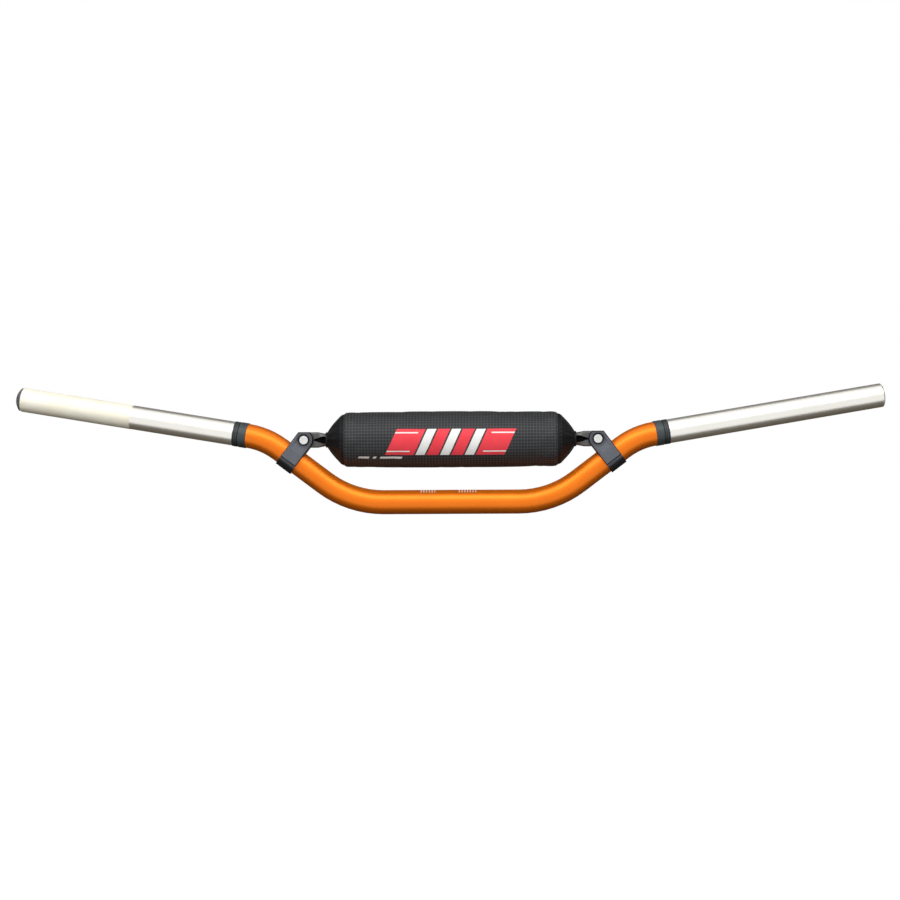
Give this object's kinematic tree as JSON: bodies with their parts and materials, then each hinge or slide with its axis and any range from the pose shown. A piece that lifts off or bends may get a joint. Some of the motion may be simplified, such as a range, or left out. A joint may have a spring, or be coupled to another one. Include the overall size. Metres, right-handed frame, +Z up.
{
  "type": "motocross handlebar",
  "caption": "Bent motorbike handlebar tube with a crossbar in saddle clamps and a round foam pad; it is held at its straight middle section.",
  "frame": {"origin": "middle of the straight clamp section, on the axis of the tube", "axes": "+X along the clamp section, +Z up, in the plane of the crossbar, +Y the way that the arms sweep back"},
  "size_m": [0.8059, 0.073, 0.1183],
  "materials": {
    "tube": "orange anodised middle, bare satin arms, roughened grip zone on one arm",
    "end_plug": "moulded, matt",
    "collar": "ribbed, matt",
    "clamp": "glass-filled nylon, slate grey, matt",
    "crossbar": "grey anodised, satin",
    "fastener": "bright zinc plated",
    "pad_foam": "closed-cell foam",
    "pad_cloth": "black coated cloth with a fine woven grid",
    "pad_end_cloth": "smooth black coated cloth",
    "pad_closure": "black hook and loop tape"
  },
  "bodies": {
    "root": {"handlebar_tube": "tube", "left_end_plug": "end_plug", "left_collar": "collar", "right_collar": "collar", "left_crossbar_clamp": "clamp", "right_crossbar_clamp": "clamp", "crossbar": "crossbar", "left_clamp_bolt": "fastener", "right_clamp_bolt": "fastener", "left_clamp_nut": "fastener", "right_clamp_nut": "fastener", "pad_core": "pad_foam", "pad_cover": "pad_cloth", "pad_left_cap": "pad_end_cloth", "pad_right_cap": "pad_end_cloth", "pad_loop_strip": "pad_closure", "pad_hook_flap": "pad_closure"}
  },
  "joints": []
}
